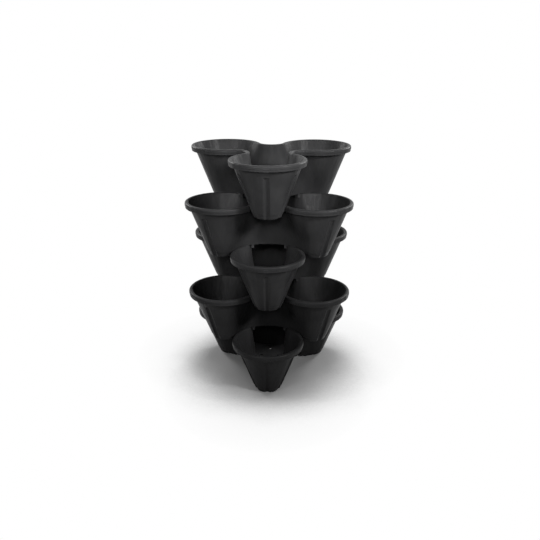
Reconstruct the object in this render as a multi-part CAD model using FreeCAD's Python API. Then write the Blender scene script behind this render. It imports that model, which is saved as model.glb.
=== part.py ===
import FreeCAD, Part
import math
import os

# Vertical planter tower: five equal three-lobed planters stacked on one another.
# Millimetres, +Z up. The origin is on the ground, under the middle of the tower.
# Every second planter is turned half a turn, so its lobes hang between those of the planter below.

# Stack
tier_names = ["bottom_planter", "second_planter", "third_planter", "fourth_planter", "top_planter"]
tier_turn = 180.0

# Plan of one planter
pot_distance = 118.0
rim_radius = 80.0
rim_saddle = 61.0
lobe_angles = [-90.0, 30.0, 150.0]

# Heights of one planter
planter_height = 120.0
nest_depth = 18.0
rim_band_height = 12.0

# Wall of one planter
wall_radius_foot = 29.5
wall_saddle_foot = 46.0
wall_thickness = 2.6
floor_thickness = 3.0

# Rim
rim_overhang = 5.0
rim_plate_thickness = 3.4
rim_skirt_thickness = 2.8
rim_edge_radius = 3.6
rim_lip_bevel = 1.2
rim_bead_height = 4.6
rim_bead_step = 0.9

# Foot of each pot
foot_step_height = 10.0
foot_step = 0.9
foot_chamfer = 1.2
foot_ring_thickness = 3.0
foot_recess = 4.5
floor_hole_radius = 3.5
floor_hole_circle = 15.0
floor_hole_count = 4

# Upright flutes in the pot walls, as angles from each pot's outward direction
flute_angles = [[-60.0, 0.0, 60.0], [-30.0, 30.0], [-30.0, 30.0]]
flute_radius = 7.5
flute_edge_radius = 2.4
flute_depth_top = 2.8
flute_depth_foot = 4.6
flute_top_below_rim = 28.0

# Hub: the raised floor in the middle that sits on the rim of the planter below
seat_clearance = 0.9
hub_hole_radius = 4.0
hub_hole_circle = 24.0
hub_hole_angles = [-30.0, 90.0, 210.0]

# Locating tabs under the hub floor, two by each saddle wall
tab_width = 7.0
tab_thickness = 3.0
tab_drop = 8.0
tab_set_back = 0.3
tab_clearance = 0.7

# Values that follow from the ones above
stack_pitch = planter_height - nest_depth
wall_radius_top = rim_radius - rim_overhang
wall_saddle_top = rim_saddle - rim_overhang
above_rim = planter_height + 2.0
below_ground = -5.0
upward = FreeCAD.Vector(0, 0, 1)


def polar(distance, angle, z=0.0):
    """Point at a distance and an angle in degrees from the planter's middle."""
    turn = math.radians(angle)
    return FreeCAD.Vector(distance * math.cos(turn), distance * math.sin(turn), z)


def saddle_radius(lobe_radius, saddle):
    """Radius of the hollow arc that is tangent to two neighbouring lobes and passes the saddle point."""
    top = saddle ** 2 + pot_distance ** 2 - pot_distance * saddle - lobe_radius ** 2
    return top / (2 * lobe_radius + pot_distance - 2 * saddle)


def lobe_end(lobe_radius, saddle):
    """Angle from a lobe's outward direction to the point where its arc meets the hollow arc."""
    to_hollow = polar(saddle + saddle_radius(lobe_radius, saddle), 60) - polar(pot_distance, 0)
    return math.degrees(math.atan2(to_hollow.y, to_hollow.x))


def arc(centre, radius, start, stop):
    """Edge along a level circle between two angles in degrees."""
    points = [centre + polar(radius, angle) for angle in (start, (start + stop) / 2, stop)]
    return Part.Arc(*points).toShape()


def trefoil(lobe_radius, saddle, z):
    """Closed outline of three lobes joined by three hollow saddles, all arcs tangent.

    The middle arc of a lobe spans the same angle at every height, so that it lofts into a true cone.
    """
    hollow = saddle_radius(lobe_radius, saddle)
    end = lobe_end(lobe_radius, saddle)
    cone_end = lobe_end(wall_radius(below_ground), wall_saddle(below_ground)) - 1
    bounds = [-end, -cone_end, cone_end, end]
    edges = []
    for angle in lobe_angles:
        lobe = polar(pot_distance, angle, z)
        for start, stop in zip(bounds, bounds[1:]):
            edges.append(arc(lobe, lobe_radius, angle + start, angle + stop))
        hollow_middle = polar(saddle + hollow, angle + 60, z)
        edges.append(arc(hollow_middle, hollow, angle + 180 + end, angle + 300 - end))
    return Part.Wire(edges)


def wall_radius(z):
    """Outer radius of a pot's wall at a height above its foot."""
    return wall_radius_foot + (wall_radius_top - wall_radius_foot) * z / planter_height


def wall_saddle(z):
    """Distance of the saddle wall's outer face from the middle at a height above the foot."""
    return wall_saddle_foot + (wall_saddle_top - wall_saddle_foot) * z / planter_height


def wall_section(z, inset=0.0):
    return trefoil(wall_radius(z) - inset, wall_saddle(z) - inset, z)


def wall_loft(levels):
    """Solid through outlines given as (height, inset) pairs."""
    return Part.makeLoft([wall_section(z, inset) for z, inset in levels], True, True)


def prism(lobe_radius, saddle, bottom, top):
    face = Part.Face(trefoil(lobe_radius, saddle, bottom))
    return face.extrude(FreeCAD.Vector(0, 0, top - bottom))


def slab(bottom, top):
    """Block wider than the planter between two heights."""
    side = 3 * (pot_distance + rim_radius)
    corner = FreeCAD.Vector(-side / 2, -side / 2, bottom)
    return Part.makeBox(side, side, top - bottom, corner)


def flute_rod(growth):
    """Rod with a rounded top edge that leans with a pot wall facing +X, its seam turned outward."""
    radius = flute_radius + growth
    edge_radius = flute_edge_radius + growth
    top_z = planter_height - flute_top_below_rim
    rise = top_z - below_ground
    foot_reach = wall_radius(below_ground) + flute_radius - flute_depth_foot
    top_reach = wall_radius(top_z) + flute_radius - flute_depth_top
    lean = math.atan2(top_reach - foot_reach, rise)
    length = rise / math.cos(lean) + growth
    bend = edge_radius * math.sqrt(0.5)
    centre = FreeCAD.Vector(0, 0, 0)
    foot_edge = FreeCAD.Vector(radius, 0, 0)
    side_end = FreeCAD.Vector(radius, 0, length - edge_radius)
    edge_middle = FreeCAD.Vector(radius - edge_radius + bend, 0, length - edge_radius + bend)
    top_edge = FreeCAD.Vector(radius - edge_radius, 0, length)
    tip = FreeCAD.Vector(0, 0, length)
    edges = [
        Part.makeLine(centre, foot_edge),
        Part.makeLine(foot_edge, side_end),
        Part.Arc(side_end, edge_middle, top_edge).toShape(),
        Part.makeLine(top_edge, tip),
        Part.makeLine(tip, centre),
    ]
    rod = Part.Face(Part.Wire(edges)).revolve(centre, upward, 360)
    rod.rotate(centre, FreeCAD.Vector(0, 1, 0), math.degrees(lean))
    rod.translate(FreeCAD.Vector(foot_reach, 0, below_ground))
    return rod


def flutes(growth):
    """Rods along the pot walls that cut the flutes, or with growth leave their ridges inside."""
    rods = []
    for lobe_angle, angles in zip(lobe_angles, flute_angles):
        for angle in angles:
            rod = flute_rod(growth)
            rod.rotate(FreeCAD.Vector(0, 0, 0), upward, lobe_angle + angle)
            rod.translate(polar(pot_distance, lobe_angle))
            rods.append(rod)
    return rods


def hub_relief(growth, lift):
    """Space under the raised hub floor, where the rim of the planter below fits."""
    cut_radius = rim_radius + seat_clearance + growth
    cut_saddle = rim_saddle + seat_clearance + growth
    top = nest_depth + lift
    below = prism(cut_radius, cut_saddle, below_ground, top)
    below.rotate(FreeCAD.Vector(0, 0, 0), upward, 60)
    neck_start = rim_saddle + seat_clearance + growth
    neck_end = pot_distance - wall_radius_foot + foot_step + growth
    slope = nest_depth / (neck_end - neck_start)
    width = rim_radius
    ramp_end = neck_end + (lift - below_ground) / slope
    profile = [
        FreeCAD.Vector(0, -width, below_ground),
        FreeCAD.Vector(ramp_end, -width, below_ground),
        FreeCAD.Vector(neck_start, -width, top),
        FreeCAD.Vector(0, -width, top),
    ]
    ramp = Part.Face(Part.makePolygon(profile + profile[:1])).extrude(FreeCAD.Vector(0, 2 * width, 0))
    pieces = [below]
    for angle in lobe_angles:
        neck = ramp.copy()
        neck.rotate(FreeCAD.Vector(0, 0, 0), upward, angle)
        pieces.append(neck)
    return pieces


def foot_spaces():
    """Shallow hollow under each pot's floor, inside its foot ring."""
    inset = foot_step + foot_chamfer + foot_ring_thickness
    low_radius = wall_radius(below_ground) - inset
    high_radius = wall_radius(foot_recess) - inset
    spaces = []
    for angle in lobe_angles:
        middle = polar(pot_distance, angle, below_ground)
        cone = Part.makeCone(low_radius, high_radius, foot_recess - below_ground, middle, upward)
        spaces.append(cone.cut(flutes(foot_ring_thickness)))
    return spaces


def rim():
    """Rolled rim: a flat plate with a rounded outer edge and a skirt that hangs clear of the wall."""
    band_bottom = planter_height - rim_band_height
    bead_top = band_bottom + rim_bead_height
    upper = prism(rim_radius, rim_saddle, bead_top, planter_height)
    outer_edges = [edge for edge in upper.Edges if edge.CenterOfMass.z > planter_height - 0.01]
    upper = upper.makeFillet(rim_edge_radius, outer_edges)
    lower = prism(rim_radius - rim_bead_step, rim_saddle - rim_bead_step, band_bottom, bead_top)
    channel = prism(
        rim_radius - rim_skirt_thickness,
        rim_saddle - rim_skirt_thickness,
        band_bottom - 1,
        planter_height - rim_plate_thickness,
    )
    return upper.fuse(lower).cut(channel)


def wall_hollow(z, lobe_angle):
    """Middle and radius of the hollow arc in the outside of the wall, between two lobes."""
    hollow = saddle_radius(wall_radius(z), wall_saddle(z))
    return polar(wall_saddle(z) + hollow, lobe_angle), hollow


def tab_corner():
    """Back corner of a tab by the saddle wall facing +X, the nearest to the wall of the planter below."""
    own, own_radius = wall_hollow(nest_depth, 0)
    below, below_radius = wall_hollow(planter_height - tab_drop, 60)
    own_radius += tab_set_back + tab_thickness
    below_radius += wall_thickness + tab_clearance
    line = below - own
    along = (own_radius ** 2 - below_radius ** 2 + line.Length ** 2) / (2 * line.Length)
    across = math.sqrt(own_radius ** 2 - along ** 2)
    line.normalize()
    return own + line * along + upward.cross(line) * across


def tabs():
    """Tabs under the hub floor that hook inside the rim of the planter below."""
    corner = tab_corner()
    own = wall_hollow(nest_depth, 0)[0]
    lean = math.degrees(math.atan2(corner.y, own.x - corner.x))
    pieces = []
    for lobe_angle in lobe_angles:
        for side in (-1, 1):
            start = -tab_width if side > 0 else 0
            tab = Part.makeBox(tab_thickness, tab_width, tab_drop + floor_thickness / 2)
            tab.translate(FreeCAD.Vector(0, start, nest_depth - tab_drop))
            tab.rotate(FreeCAD.Vector(0, 0, 0), upward, -side * lean)
            tab.translate(FreeCAD.Vector(corner.x, side * corner.y, 0))
            tab.rotate(FreeCAD.Vector(0, 0, 0), upward, lobe_angle + 60)
            pieces.append(tab)
    return pieces


def drain_holes():
    holes = []
    for lobe_angle in lobe_angles:
        pot = polar(pot_distance, lobe_angle, below_ground)
        for index in range(floor_hole_count):
            angle = lobe_angle + 45 + index * 360 / floor_hole_count
            centre = pot + polar(floor_hole_circle, angle)
            holes.append(Part.makeCylinder(floor_hole_radius, nest_depth, centre))
    for angle in hub_hole_angles:
        centre = polar(hub_hole_circle, angle, below_ground)
        holes.append(Part.makeCylinder(hub_hole_radius, 2 * nest_depth, centre))
    return holes


def planter():
    """One moulding: fluted wall, rolled rim, raised hub floor, pot floors, drain holes and tabs."""
    foot = wall_loft([(0, foot_step + foot_chamfer), (foot_chamfer, foot_step), (foot_step_height, foot_step)])
    wall = wall_loft([(foot_step_height, 0), (planter_height, 0)])
    outside = foot.fuse(wall).cut(flutes(0)).fuse(rim()).cut(hub_relief(0, 0))
    lip_low = (planter_height - rim_lip_bevel, wall_thickness)
    lip_high = (above_rim, wall_thickness - rim_lip_bevel - (above_rim - planter_height))
    inside = wall_loft([(below_ground, wall_thickness), lip_low, lip_high])
    inside = inside.cut(flutes(wall_thickness)).cut(hub_relief(wall_thickness, floor_thickness))
    soil_space = inside.common(slab(foot_recess + floor_thickness, above_rim))
    body = outside.cut([soil_space] + foot_spaces())
    return body.fuse(tabs()).cut(drain_holes()).removeSplitter()


os.makedirs("parts", exist_ok=True)
moulding = planter()
for tier, name in enumerate(tier_names):
    shape = moulding.copy()
    shape.rotate(FreeCAD.Vector(0, 0, 0), upward, tier_turn * tier)
    shape.translate(FreeCAD.Vector(0, 0, stack_pitch * tier))
    solids = shape.Solids
    print(name, "solids", len(solids), "valid", shape.isValid(), "volume", round(shape.Volume))
    solids[0].exportStep("parts/" + name + ".step")
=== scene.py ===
import math

import bmesh
import bpy
from mathutils import Matrix, Vector


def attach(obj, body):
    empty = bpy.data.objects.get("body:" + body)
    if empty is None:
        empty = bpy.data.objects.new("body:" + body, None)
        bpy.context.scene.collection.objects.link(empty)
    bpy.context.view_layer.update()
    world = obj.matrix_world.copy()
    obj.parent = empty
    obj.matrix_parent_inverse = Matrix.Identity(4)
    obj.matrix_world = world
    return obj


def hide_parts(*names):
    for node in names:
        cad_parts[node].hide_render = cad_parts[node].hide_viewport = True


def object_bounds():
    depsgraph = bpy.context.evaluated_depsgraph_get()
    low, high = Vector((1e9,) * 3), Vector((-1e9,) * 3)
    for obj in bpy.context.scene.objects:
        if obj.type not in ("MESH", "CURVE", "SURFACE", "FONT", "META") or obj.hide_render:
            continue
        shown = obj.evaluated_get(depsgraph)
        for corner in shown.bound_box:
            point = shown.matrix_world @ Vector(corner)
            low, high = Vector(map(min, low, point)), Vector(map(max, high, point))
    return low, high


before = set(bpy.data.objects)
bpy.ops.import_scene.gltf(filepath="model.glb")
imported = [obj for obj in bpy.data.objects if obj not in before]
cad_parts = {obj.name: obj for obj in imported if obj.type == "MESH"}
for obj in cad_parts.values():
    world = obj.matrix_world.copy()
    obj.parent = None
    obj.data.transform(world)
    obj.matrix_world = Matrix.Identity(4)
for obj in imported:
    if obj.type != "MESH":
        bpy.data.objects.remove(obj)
cad_low, cad_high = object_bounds()

# Vertical planter tower: five equal three-lobed planters, each one moulding of satin black plastic.
# The moulding's lengths are in millimetres, as on its drawing, and become metres in the meshes.
MM = 0.001
TIERS = ["bottom_planter", "second_planter", "third_planter", "fourth_planter", "top_planter"]
BODIES = ["bottom_tier", "second_tier", "third_tier", "fourth_tier", "top_tier"]
TIER_TURN = 180.0

# Plan of one planter
POT_DISTANCE = 118.0
RIM_RADIUS = 80.0
RIM_SADDLE = 61.0
LOBE_ANGLES = [-90.0, 30.0, 150.0]

# Heights and wall
HEIGHT = 120.0
NEST_DEPTH = 18.0
RIM_BAND = 12.0
WALL_FOOT = 29.5
SADDLE_FOOT = 46.0
WALL = 2.6
FLOOR = 3.0

# Rim
RIM_OVERHANG = 5.0
PLATE = 3.4
SKIRT = 2.8
RIM_EDGE = 3.6
LIP_BEVEL = 1.2
BEAD_HEIGHT = 4.6
BEAD_STEP = 0.9
SMALL_EDGE = 0.5

# Foot of each pot
STEP_HEIGHT = 10.0
STEP = 0.9
STEP_SOFTNESS = 0.7
FOOT_CHAMFER = 1.2
FOOT_RING = 3.0
FOOT_RECESS = 4.5
DRAIN_RADIUS = 3.5
DRAIN_CIRCLE = 15.0
DRAIN_COUNT = 4

# Flutes in the pot walls, as angles from each pot's outward direction
FLUTE_ANGLES = [[-60.0, 0.0, 60.0], [-30.0, 30.0], [-30.0, 30.0]]
FLUTE_RADIUS = 7.5
FLUTE_EDGE = 2.4
FLUTE_DEPTH_TOP = 2.8
FLUTE_DEPTH_FOOT = 4.6
FLUTE_BELOW_RIM = 28.0
FLUTE_SOFTNESS = 0.5

# Hub
SEAT_CLEARANCE = 0.9
HUB_HOLE_RADIUS = 4.0
HUB_HOLE_CIRCLE = 24.0
HUB_HOLE_ANGLES = [-30.0, 90.0, 210.0]
TAB_WIDTH = 7.0
TAB_THICKNESS = 3.0
TAB_DROP = 8.0
TAB_SET_BACK = 0.3
TAB_CLEARANCE = 0.7
TAB_EDGE = 0.5

# How finely the surfaces are divided
STRIP_HALF_WIDTH = 11.5
STRIP_COLUMNS = 30
PLAIN_COLUMNS = {3: 12, 2: 16}
SADDLE_COLUMNS = 22
HOLE_SIDES = 32
FOOT_SIDES = 120
ROWS_BELOW_ARCH = 9.0
ROWS_AT_ARCH = 0.6
ROWS_ABOVE_ARCH = 4.0
ARCH_MARGIN = 3.0
FIRST_ROW = 4.0
FIRST_INNER_ROW = 3.0
LAST_INNER_ROW = 6.0
BEND_ROUNDS = 4
WELD_DISTANCE = 0.00001
SHARP_ANGLE = math.radians(38)

PITCH = HEIGHT - NEST_DEPTH
WALL_TOP = RIM_RADIUS - RIM_OVERHANG
SADDLE_TOP = RIM_SADDLE - RIM_OVERHANG
BELOW = -5.0
UP = Vector((0, 0, 1))


def polar(distance, angle, z=0.0):
    turn = math.radians(angle)
    return Vector((distance * math.cos(turn), distance * math.sin(turn), z))


def turned(angle):
    return Matrix.Rotation(math.radians(angle), 4, "Z")


def soft_min(a, b, softness):
    """The smaller of two lengths, with the corner between them rounded off."""
    overlap = max(softness - abs(a - b), 0.0)
    return min(a, b) - overlap * overlap / (4 * softness)


def wall_radius(z):
    return WALL_FOOT + (WALL_TOP - WALL_FOOT) * z / HEIGHT


def wall_saddle(z):
    return SADDLE_FOOT + (SADDLE_TOP - SADDLE_FOOT) * z / HEIGHT


def hollow_radius(lobe_radius, saddle):
    """Radius of the hollow arc between two lobes, tangent to both."""
    top = saddle ** 2 + POT_DISTANCE ** 2 - POT_DISTANCE * saddle - lobe_radius ** 2
    return top / (2 * lobe_radius + POT_DISTANCE - 2 * saddle)


FLUTE_TOP = HEIGHT - FLUTE_BELOW_RIM
FLUTE_REACH_LOW = wall_radius(BELOW) + FLUTE_RADIUS - FLUTE_DEPTH_FOOT
FLUTE_REACH_HIGH = wall_radius(FLUTE_TOP) + FLUTE_RADIUS - FLUTE_DEPTH_TOP
FLUTE_LEAN = math.atan2(FLUTE_REACH_HIGH - FLUTE_REACH_LOW, FLUTE_TOP - BELOW)


def flute_face(z, side, growth):
    """Distance from the pot's axis to the face of a flute's leaning rod, or None beside or above it."""
    edge = FLUTE_EDGE + growth
    core = FLUTE_RADIUS + growth - edge
    width = core + edge
    for _ in range(BEND_ROUNDS):
        if width <= abs(side):
            return None
        inward = math.sqrt(width ** 2 - side ** 2)
        up_rod = (z - FLUTE_TOP - inward * math.sin(FLUTE_LEAN)) / math.cos(FLUTE_LEAN)
        past_bend = max(up_rod - growth + edge, 0)
        if past_bend > edge:
            return None
        width = core + math.sqrt(edge ** 2 - past_bend ** 2)
    return FLUTE_REACH_HIGH - inward * math.cos(FLUTE_LEAN) + up_rod * math.sin(FLUTE_LEAN)


def fluted(radius, z, angle, flutes, growth):
    """Distance from the pot's axis to its wall at an angle, with the flutes pressed in."""
    distance = radius
    for flute in flutes:
        turn = math.radians(angle - flute)
        if abs(turn) < math.pi / 3:
            face = flute_face(z, radius * math.sin(turn), growth)
            if face is not None:
                distance = soft_min(distance, face / math.cos(turn), FLUTE_SOFTNESS)
    return distance


def lobe_columns(flutes, radius, reach):
    """Angles of a lobe's columns at one height: close together across each flute, even between them."""
    strip = math.degrees(STRIP_HALF_WIDTH / radius)
    plain = PLAIN_COLUMNS[len(flutes)]
    columns = []
    start = -reach
    for flute in flutes:
        stop = flute - strip
        columns += [start + (stop - start) * i / plain for i in range(plain)]
        columns += [stop + 2 * strip * i / STRIP_COLUMNS for i in range(STRIP_COLUMNS)]
        start = flute + strip
    columns += [start + (reach - start) * i / plain for i in range(plain + 1)]
    return columns


def outline(lobe_radius, saddle, z, growth=None):
    """Points of the three-lobed outline at one height, the same number at every height.

    With growth, the flutes are pressed in, by rods that much thicker than the flutes outside.
    """
    hollow = hollow_radius(lobe_radius, saddle)
    points = []
    for lobe_angle, flutes in zip(LOBE_ANGLES, FLUTE_ANGLES):
        lobe = polar(POT_DISTANCE, lobe_angle, z)
        hollow_centre = polar(saddle + hollow, lobe_angle + 60, z)
        along = hollow_centre - lobe
        reach = (math.degrees(math.atan2(along.y, along.x)) - lobe_angle) % 360
        for angle in lobe_columns(flutes, lobe_radius, reach):
            distance = lobe_radius
            if growth is not None:
                distance = fluted(lobe_radius, z, angle, flutes, growth)
            points.append(lobe + polar(distance, lobe_angle + angle))
        half = reach - 60
        for i in range(1, SADDLE_COLUMNS):
            turn = half - 2 * half * i / SADDLE_COLUMNS
            points.append(hollow_centre + polar(hollow, lobe_angle + 240 + turn))
    return points


def wall_ring(z, inset, growth=None):
    return outline(wall_radius(z) - inset, wall_saddle(z) - inset, z, growth)


def rim_ring(z, inset):
    return outline(RIM_RADIUS - inset, RIM_SADDLE - inset, z)


def skin(rings):
    """Closed mesh of quads through rings of points, with a flat face at each end."""
    mesh = bmesh.new()
    rows = [[mesh.verts.new(point * MM) for point in ring] for ring in rings]
    count = len(rows[0])
    for low, high in zip(rows, rows[1:]):
        for i in range(count):
            j = (i + 1) % count
            mesh.faces.new((low[i], low[j], high[j], high[i]))
    mesh.faces.new(list(reversed(rows[0])))
    mesh.faces.new(rows[-1])
    bmesh.ops.recalc_face_normals(mesh, faces=mesh.faces)
    return mesh


def as_object(mesh, name):
    data = bpy.data.meshes.new(name)
    mesh.to_mesh(data)
    mesh.free()
    piece = bpy.data.objects.new(name, data)
    bpy.context.scene.collection.objects.link(piece)
    return piece


def boolean(piece, tools, operation):
    """Joins tools to a piece, cuts them from it or keeps what they share, and deletes them."""
    for tool in tools:
        change = piece.modifiers.new("change", "BOOLEAN")
        change.operation = operation
        change.solver = "MANIFOLD"
        change.object = tool
        with bpy.context.temp_override(object=piece, active_object=piece):
            bpy.ops.object.modifier_apply(modifier=change.name)
        bpy.data.objects.remove(tool)
    return piece


def arc(centre_z, centre_inset, radius, start, stop, steps):
    """Heights and insets along a rounded edge; 0 degrees points up and 90 outward."""
    places = []
    for i in range(steps + 1):
        turn = math.radians(start + (stop - start) * i / steps)
        places.append((centre_z + radius * math.cos(turn), centre_inset - radius * math.sin(turn)))
    return places


def spaced(low, high, step):
    """Even heights from low to high, about a step apart, without the last."""
    count = max(1, round((high - low) / step))
    return [low + (high - low) * i / count for i in range(count)]


def wall_heights(low, high):
    """Rows up a wall, closer together round the tops of the flutes and of their ridges inside."""
    arch_low = FLUTE_TOP - ARCH_MARGIN
    arch_high = FLUTE_TOP + FLUTE_RADIUS + WALL
    rows = spaced(low, arch_low, ROWS_BELOW_ARCH)
    rows += spaced(arch_low, arch_high, ROWS_AT_ARCH)
    return rows + spaced(arch_high, high, ROWS_ABOVE_ARCH)


def outer_rings():
    """Outside of the wall from the foot ring up to the underside of the rim."""
    profile = [(0, STEP + FOOT_CHAMFER)]
    profile += [(FOOT_CHAMFER * 0.3, STEP + FOOT_CHAMFER * 0.45), (FOOT_CHAMFER, STEP + 0.05)]
    profile += [(2 * FOOT_CHAMFER, STEP), (STEP_HEIGHT / 2, STEP), (STEP_HEIGHT - STEP_SOFTNESS, STEP)]
    profile += [(STEP_HEIGHT - 0.1, STEP * 0.6), (STEP_HEIGHT + 0.2, STEP * 0.15)]
    profile += [(STEP_HEIGHT + STEP_SOFTNESS, 0)]
    profile += [(z, 0) for z in wall_heights(STEP_HEIGHT + FIRST_ROW, HEIGHT - PLATE)]
    profile += [(HEIGHT - PLATE, 0)]
    return [wall_ring(z, inset, 0) for z, inset in profile]


def rim_rings():
    """The rolled rim: inside of its skirt, lower edge, bead, rounded outer edge and flat top."""
    band_bottom = HEIGHT - RIM_BAND
    bead_top = band_bottom + BEAD_HEIGHT
    profile = [(HEIGHT - PLATE, SKIRT + SMALL_EDGE), (HEIGHT - PLATE - SMALL_EDGE, SKIRT)]
    profile += arc(band_bottom + SMALL_EDGE, SKIRT - SMALL_EDGE, SMALL_EDGE, -90, -180, 3)
    profile += arc(band_bottom + SMALL_EDGE, BEAD_STEP + SMALL_EDGE, SMALL_EDGE, 180, 90, 3)
    profile += [(bead_top - SMALL_EDGE, BEAD_STEP), (bead_top, BEAD_STEP * 0.75)]
    profile += arc(bead_top + SMALL_EDGE, SMALL_EDGE, SMALL_EDGE, 150, 90, 2)
    profile += arc(HEIGHT - RIM_EDGE, RIM_EDGE, RIM_EDGE, 90, 0, 7)
    return [rim_ring(z, inset) for z, inset in profile]


def inner_rings():
    """Lip, inside of the wall and its ridges behind the flutes, down to the floor of the pots."""
    lip_inset = WALL - LIP_BEVEL
    floor_top = FOOT_RECESS + FLOOR
    profile = [(HEIGHT, lip_inset - SMALL_EDGE), (HEIGHT - SMALL_EDGE / 3, lip_inset)]
    profile += [(HEIGHT - LIP_BEVEL, WALL - SMALL_EDGE / 4), (HEIGHT - LIP_BEVEL - SMALL_EDGE, WALL)]
    rows = wall_heights(floor_top + FIRST_INNER_ROW, HEIGHT - LAST_INNER_ROW)
    profile += [(z, WALL) for z in reversed(rows)]
    profile += [(floor_top + 1.4, WALL + 0.25), (floor_top + 0.4, WALL + 0.9), (floor_top, WALL + 1.8)]
    return [wall_ring(z, inset, WALL) for z, inset in profile]


def bowl():
    """The planter as a plain bowl: fluted wall, rim and flat floor, with no hub yet."""
    return as_object(skin(outer_rings() + rim_rings() + inner_rings()), "bowl")


def relief(growth, lift):
    """Space under the raised hub floor: the rim of the planter below and a ramp into each pot."""
    radius = RIM_RADIUS + SEAT_CLEARANCE + growth
    saddle = RIM_SADDLE + SEAT_CLEARANCE + growth
    top = NEST_DEPTH + lift
    seat = as_object(skin([outline(radius, saddle, z) for z in (BELOW, top)]), "seat")
    seat.data.transform(turned(60))
    neck_end = POT_DISTANCE - WALL_FOOT + STEP + growth
    slope = NEST_DEPTH / (neck_end - saddle)
    ramp_end = neck_end + (lift - BELOW) / slope
    side_view = [(0, BELOW), (ramp_end, BELOW), (saddle, top), (0, top)]
    ramps = []
    for angle in LOBE_ANGLES:
        rings = [[Vector((x, y, z)) for x, z in side_view] for y in (-RIM_RADIUS, RIM_RADIUS)]
        ramp = as_object(skin(rings), "ramp")
        ramp.data.transform(turned(angle))
        ramps.append(ramp)
    return boolean(seat, ramps, "UNION")


def round_bar(radius, centre, bottom, top):
    rings = []
    for z in (bottom, top):
        rings.append([centre + polar(radius, 360 * i / HOLE_SIDES, z) for i in range(HOLE_SIDES)])
    return as_object(skin(rings), "bar")


def foot_spaces():
    """Shallow hollow under each pot's floor, inside its foot ring."""
    inset = STEP + FOOT_CHAMFER + FOOT_RING
    spaces = []
    for lobe_angle, flutes in zip(LOBE_ANGLES, FLUTE_ANGLES):
        rings = []
        for z in (BELOW, FOOT_RECESS):
            radius = wall_radius(z) - inset
            ring = []
            for i in range(FOOT_SIDES):
                angle = 360 * i / FOOT_SIDES - 180
                ring.append(polar(POT_DISTANCE, lobe_angle, z)
                            + polar(fluted(radius, z, angle, flutes, FOOT_RING), lobe_angle + angle))
            rings.append(ring)
        spaces.append(as_object(skin(rings), "foot_space"))
    return spaces


def drain_holes():
    holes = []
    for lobe_angle in LOBE_ANGLES:
        pot = polar(POT_DISTANCE, lobe_angle)
        for i in range(DRAIN_COUNT):
            centre = pot + polar(DRAIN_CIRCLE, lobe_angle + 45 + 360 * i / DRAIN_COUNT)
            holes.append(round_bar(DRAIN_RADIUS, centre, BELOW, NEST_DEPTH + BELOW))
    for angle in HUB_HOLE_ANGLES:
        centre = polar(HUB_HOLE_CIRCLE, angle)
        holes.append(round_bar(HUB_HOLE_RADIUS, centre, BELOW, 2 * NEST_DEPTH + BELOW))
    return holes


def wall_hollow(z, angle):
    """Middle and radius of the hollow arc in the outside of the wall, between two lobes."""
    hollow = hollow_radius(wall_radius(z), wall_saddle(z))
    return polar(wall_saddle(z) + hollow, angle), hollow


def tab_corner():
    """Back corner of a tab by the saddle wall facing +X, the nearest to the wall of the planter below."""
    own, own_radius = wall_hollow(NEST_DEPTH, 0)
    below, below_radius = wall_hollow(HEIGHT - TAB_DROP, 60)
    own_radius += TAB_SET_BACK + TAB_THICKNESS
    below_radius += WALL + TAB_CLEARANCE
    line = below - own
    along = (own_radius ** 2 - below_radius ** 2 + line.length ** 2) / (2 * line.length)
    across = math.sqrt(own_radius ** 2 - along ** 2)
    line.normalize()
    return own + line * along + UP.cross(line) * across


def tabs():
    """Tabs under the hub floor that hook inside the rim of the planter below."""
    corner = tab_corner()
    own = wall_hollow(NEST_DEPTH, 0)[0]
    lean = math.degrees(math.atan2(corner.y, own.x - corner.x))
    size = Vector((TAB_THICKNESS, TAB_WIDTH, TAB_DROP + FLOOR / 2))
    pieces = []
    for lobe_angle in LOBE_ANGLES:
        for side in (-1, 1):
            mesh = bmesh.new()
            bmesh.ops.create_cube(mesh, size=1)
            bmesh.ops.scale(mesh, vec=size * MM, verts=mesh.verts)
            bmesh.ops.bevel(mesh, geom=mesh.edges[:], offset=TAB_EDGE * MM, segments=2, affect="EDGES")
            tab = as_object(mesh, "tab")
            height = NEST_DEPTH - TAB_DROP + size.z / 2
            middle = Vector((TAB_THICKNESS / 2, -side * TAB_WIDTH / 2, height))
            tab.data.transform(Matrix.Translation(middle * MM))
            tab.data.transform(turned(-side * lean))
            tab.data.transform(Matrix.Translation(Vector((corner.x, side * corner.y, 0)) * MM))
            tab.data.transform(turned(lobe_angle + 60))
            pieces.append(tab)
    return pieces


def planter():
    """One moulding, standing on the ground, with a pot facing the front."""
    piece = bowl()
    core = as_object(skin([wall_ring(z, WALL / 2) for z in (FLOOR, NEST_DEPTH, 2 * NEST_DEPTH)]), "core")
    hub = boolean(core, [relief(WALL, FLOOR)], "INTERSECT")
    boolean(piece, [hub], "UNION")
    boolean(piece, [relief(0, 0)] + foot_spaces() + drain_holes(), "DIFFERENCE")
    return boolean(piece, tabs(), "UNION")


def finish_mesh(piece):
    """Smooth faces, with sharp lines only where the moulding has them."""
    mesh = bmesh.new()
    mesh.from_mesh(piece.data)
    bmesh.ops.remove_doubles(mesh, verts=mesh.verts, dist=WELD_DISTANCE)
    bmesh.ops.dissolve_degenerate(mesh, edges=mesh.edges, dist=WELD_DISTANCE)
    for face in mesh.faces:
        face.smooth = True
    for edge in mesh.edges:
        edge.smooth = edge.calc_face_angle(0.0) < SHARP_ANGLE
    mesh.to_mesh(piece.data)
    mesh.free()
    weights = piece.modifiers.new("even_normals", "WEIGHTED_NORMAL")
    weights.keep_sharp = True


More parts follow.
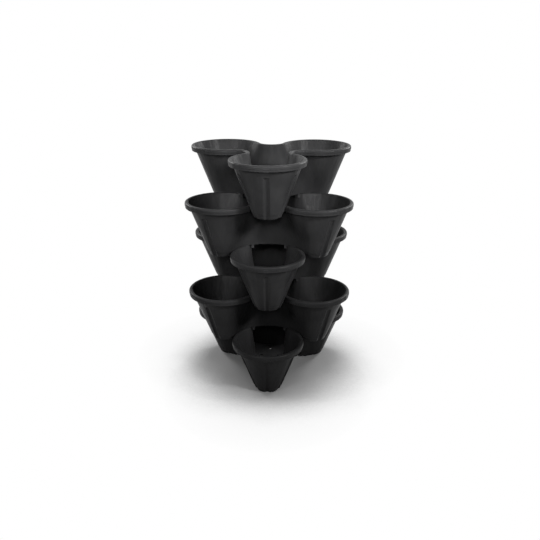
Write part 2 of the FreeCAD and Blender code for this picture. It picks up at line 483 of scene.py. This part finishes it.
# Looks of the plastic, with noise scales per metre and bump depths in metres
PLASTIC_DARK = (0.0175, 0.0175, 0.018, 1.0)
PLASTIC_LIGHT = (0.0235, 0.0235, 0.024, 1.0)
# Paler colour painted along sharp convex edges as a highlight
PAINTED_EDGE_HIGHLIGHT = (0.034, 0.034, 0.035, 1.0)
GLOSS_LOW = 0.32
GLOSS_HIGH = 0.44
SPECULAR_LEVEL = 0.06
PLASTIC_IOR = 1.49
CLOUD_SCALE = 16.0
STREAK_SCALE = 170.0
FLOW_SCALE = 60.0
GRAIN_SCALE = 1500.0
PEEL_SCALE = 260.0
STREAK_STRETCH = (1.0, 1.0, 0.07)
FLOW_STRETCH = (1.0, 1.0, 0.05)
FLOW_DEPTH = 0.0022
GRAIN_DEPTH = 0.00012
GRAIN_STRENGTH = 0.25
PEEL_DEPTH = 0.00025
PEEL_STRENGTH = 0.35
LEVEL_FACE = 0.9
UPRIGHT_FACE = 0.5
EDGE_HIGHLIGHT_RANGE = (0.53, 0.62)
EDGE_HIGHLIGHT_SHARE = 0.8


class Nodes:
    """Adds nodes and links to one node tree."""

    def __init__(self, tree):
        self.tree = tree
        tree.nodes.clear()

    def add(self, kind, settings=None, **inputs):
        node = self.tree.nodes.new(kind)
        for name, value in (settings or {}).items():
            setattr(node, name, value)
        for name, value in inputs.items():
            self.feed(node.inputs[name.replace("_", " ")], value)
        return node

    def feed(self, socket, value):
        if isinstance(value, bpy.types.NodeSocket):
            self.tree.links.new(value, socket)
        else:
            socket.default_value = value

    def noise(self, place, scale, detail=2.0, roughness=0.5):
        settings = {"Vector": place, "Scale": scale, "Detail": detail, "Roughness": roughness}
        return self.add("ShaderNodeTexNoise", **settings).outputs["Fac"]

    def ramp(self, value, low, high, start=0.0, stop=1.0):
        """Value from low to high, carried over to start to stop."""
        node = self.add("ShaderNodeMapRange", {"interpolation_type": "SMOOTHSTEP"}, Value=value)
        for name, limit in (("From Min", low), ("From Max", high), ("To Min", start), ("To Max", stop)):
            node.inputs[name].default_value = limit
        return node.outputs["Result"]

    def mix(self, factor, a, b):
        node = self.add("ShaderNodeMix", {"data_type": "RGBA"})
        self.feed(node.inputs["Factor"], factor)
        self.feed(node.inputs["A"], a)
        self.feed(node.inputs["B"], b)
        return node.outputs["Result"]

    def bump(self, height, strength, depth, below=None):
        """Normal of a bumped surface, over another bump if there is one below."""
        node = self.add("ShaderNodeBump", Height=height, Strength=strength, Distance=depth)
        if below is not None:
            self.feed(node.inputs["Normal"], below)
        return node.outputs["Normal"]

    def largest(self, values):
        """The largest of several values."""
        result = values[0]
        for value in values[1:]:
            node = self.add("ShaderNodeMath", {"operation": "MAXIMUM"})
            self.feed(node.inputs[0], result)
            self.feed(node.inputs[1], value)
            result = node.outputs[0]
        return result

    def blend(self, share, first, second):
        """Shader that goes from the first to the second as the share goes from 0 to 1."""
        node = self.add("ShaderNodeMixShader", Fac=share)
        self.feed(node.inputs[1], first.outputs[0])
        self.feed(node.inputs[2], second.outputs[0])
        return node.outputs[0]

    def scaled(self, place, scale):
        node = self.add("ShaderNodeMapping", Vector=place)
        node.inputs["Scale"].default_value = scale
        return node.outputs["Vector"]


def plastic():
    """Satin black moulded plastic: grain, walls wavy from the tool, streaky gloss, and a highlight
    painted paler along sharp edges.
    """
    material = bpy.data.materials.new("planter_plastic")
    material.use_nodes = True
    nodes = Nodes(material.node_tree)
    coordinates = nodes.add("ShaderNodeTexCoord").outputs
    place = coordinates["Object"]
    clouds = nodes.noise(place, CLOUD_SCALE, 4.0)
    streaks = nodes.noise(nodes.scaled(place, STREAK_STRETCH), STREAK_SCALE, 3.0)
    flow = nodes.noise(nodes.scaled(place, FLOW_STRETCH), FLOW_SCALE)
    grain = nodes.noise(place, GRAIN_SCALE, 2.0, 0.6)
    peel = nodes.noise(place, PEEL_SCALE)
    pointed = nodes.add("ShaderNodeNewGeometry").outputs["Pointiness"]

    base = nodes.mix(nodes.ramp(clouds, 0.35, 0.65), PLASTIC_DARK, PLASTIC_LIGHT)
    # Painted highlight: sharp convex edges, found by pointiness, get a paler colour
    edge_highlight = nodes.ramp(pointed, *EDGE_HIGHLIGHT_RANGE, 0.0, EDGE_HIGHLIGHT_SHARE)
    colour = nodes.mix(edge_highlight, base, PAINTED_EDGE_HIGHLIGHT)
    gloss = nodes.ramp(streaks, 0.3, 0.7, GLOSS_LOW, GLOSS_HIGH)

    rise = nodes.add("ShaderNodeSeparateXYZ", Vector=coordinates["Normal"]).outputs["Z"]
    steep = nodes.add("ShaderNodeMath", {"operation": "ABSOLUTE"}, Value=rise).outputs[0]
    upright = nodes.ramp(steep, LEVEL_FACE, UPRIGHT_FACE)
    drawn = nodes.bump(flow, upright, FLOW_DEPTH)
    fine = nodes.bump(grain, GRAIN_STRENGTH, GRAIN_DEPTH, drawn)
    wavy = nodes.bump(peel, PEEL_STRENGTH, PEEL_DEPTH, fine)

    shader = nodes.add("ShaderNodeBsdfPrincipled", {"distribution": "GGX"})
    nodes.feed(shader.inputs["Base Color"], colour)
    nodes.feed(shader.inputs["Roughness"], gloss)
    shader.inputs["IOR"].default_value = PLASTIC_IOR
    shader.inputs["Specular IOR Level"].default_value = SPECULAR_LEVEL
    nodes.feed(shader.inputs["Normal"], wavy)
    nodes.add("ShaderNodeOutputMaterial", Surface=shader.outputs["BSDF"])
    return material


def tower():
    """Five planters, each turned half a turn from the one below and resting on its rim."""
    material = plastic()
    moulding = planter()
    finish_mesh(moulding)
    moulding.data.materials.clear()
    moulding.data.materials.append(material)
    for tier, (node, body) in enumerate(zip(TIERS, BODIES)):
        piece = moulding.copy()
        piece.data = moulding.data.copy()
        piece.name = node + "_moulding"
        piece.data.name = piece.name
        bpy.context.scene.collection.objects.link(piece)
        lift = Matrix.Translation((0, 0, tier * PITCH * MM))
        piece.data.transform(lift @ turned(TIER_TURN * tier))
        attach(piece, body)
        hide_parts(node)
    bpy.data.objects.remove(moulding)


# Camera, as the photograph sees the tower
CAMERA_DISTANCE = 1.300
CAMERA_ABOVE_TOP = 0.2176
CAMERA_DOWN = 0.3689
CAMERA_SIDE = 0.040
FRAME_PIXELS = 540
FOCAL_PIXELS = 589.7
SENSOR = 36.0
CAMERA_REACH = 100.0


def camera():
    data = bpy.data.cameras.new("camera")
    data.sensor_width = SENSOR
    data.lens = FOCAL_PIXELS / FRAME_PIXELS * SENSOR
    data.clip_end = CAMERA_REACH
    eye = bpy.data.objects.new("camera", data)
    bpy.context.scene.collection.objects.link(eye)
    side = CAMERA_DISTANCE * math.sin(CAMERA_SIDE)
    away = CAMERA_DISTANCE * math.cos(CAMERA_SIDE)
    eye.location = (side, -away, cad_high.z + CAMERA_ABOVE_TOP)
    eye.rotation_euler = (math.pi / 2 - CAMERA_DOWN, 0, CAMERA_SIDE)
    bpy.context.scene.camera = eye


def lamp(name, place, target, size, beam, power):
    """Soft square lamp that points at a target."""
    data = bpy.data.lights.new(name, "AREA")
    data.size = size
    data.spread = math.radians(beam)
    data.energy = power
    light = bpy.data.objects.new(name, data)
    bpy.context.scene.collection.objects.link(light)
    light.location = place
    light.rotation_euler = (Vector(target) - Vector(place)).to_track_quat("-Z", "Y").to_euler()


# Light. Each lamp has a name, a place, a target, a size, a beam in degrees and a power.
WORLD_STRENGTH = 0.15
SHOWN_WHITE = (1.0, 1.0, 1.0, 1.0)
FLOOR_COLOUR = (0.5, 0.5, 0.5, 1.0)
FLOOR_GAP = 0.0002
FLOOR_SIZE = 20.0
SHADOW_REACH = 0.2
SHADOW_RANGE = (0.5, 0.97)
LAMPS = [
    ("main", (1.05, -0.92, 1.20), (0.03, -0.10, 0.52), 0.26, 36, 1.6),
    ("front", (0.05, -1.30, 0.95), (0.0, 0.0, 0.47), 0.20, 27, 0.36),
    ("fill", (-0.80, -1.15, 1.15), (-0.05, -0.05, 0.52), 0.5, 42, 0.8),
    ("back right", (1.15, 1.10, 1.10), (0.0, 0.05, 0.32), 0.6, 56, 2.0),
    ("back left", (-1.20, 1.05, 1.10), (0.0, 0.05, 0.32), 0.6, 56, 1.7),
]


def seen_directly(nodes):
    """1 for rays from the camera, a reflection or a transmission, 0 for light that falls on things."""
    path = nodes.add("ShaderNodeLightPath").outputs
    return nodes.largest([path["Is Camera Ray"], path["Is Glossy Ray"], path["Is Transmission Ray"]])


def white_room():
    """World that is white to look at and lights the tower weakly from all sides."""
    world = bpy.data.worlds.new("studio")
    bpy.context.scene.world = world
    world.use_nodes = True
    nodes = Nodes(world.node_tree)
    lit = nodes.add("ShaderNodeBackground", Color=SHOWN_WHITE, Strength=WORLD_STRENGTH)
    shown = nodes.add("ShaderNodeBackground", Color=SHOWN_WHITE, Strength=1.0)
    nodes.add("ShaderNodeOutputWorld", Surface=nodes.blend(seen_directly(nodes), lit, shown))


def pale_floor():
    """Floor that is white to look at, apart from a shadow round the tower's feet, partly painted by an
    occlusion mask and partly cast on the matt grey.
    """
    mesh = bmesh.new()
    bmesh.ops.create_grid(mesh, x_segments=1, y_segments=1, size=FLOOR_SIZE)
    floor = as_object(mesh, "floor")
    floor.location.z = -FLOOR_GAP
    material = bpy.data.materials.new("floor")
    material.use_nodes = True
    nodes = Nodes(material.node_tree)
    matt = nodes.add("ShaderNodeBsdfDiffuse", Color=FLOOR_COLOUR)
    white = nodes.add("ShaderNodeEmission", Color=SHOWN_WHITE, Strength=1.0)
    # Painted shade: near and under the tower an occlusion mask turns the shown white into the lit matt
    # grey, where the real cast shadow also shows
    open_sky = nodes.add("ShaderNodeAmbientOcclusion", {"samples": 8}, Distance=SHADOW_REACH)
    share = nodes.add("ShaderNodeMath", {"operation": "MULTIPLY"})
    nodes.feed(share.inputs[0], seen_directly(nodes))
    nodes.feed(share.inputs[1], nodes.ramp(open_sky.outputs["AO"], *SHADOW_RANGE))
    nodes.add("ShaderNodeOutputMaterial", Surface=nodes.blend(share.outputs[0], matt, white))
    floor.data.materials.append(material)


def studio():
    """White room, pale floor and five soft lamps, the main one from the right."""
    white_room()
    pale_floor()
    for settings in LAMPS:
        lamp(*settings)


tower()
camera()
studio()
bpy.context.scene.view_settings.view_transform = "Standard"
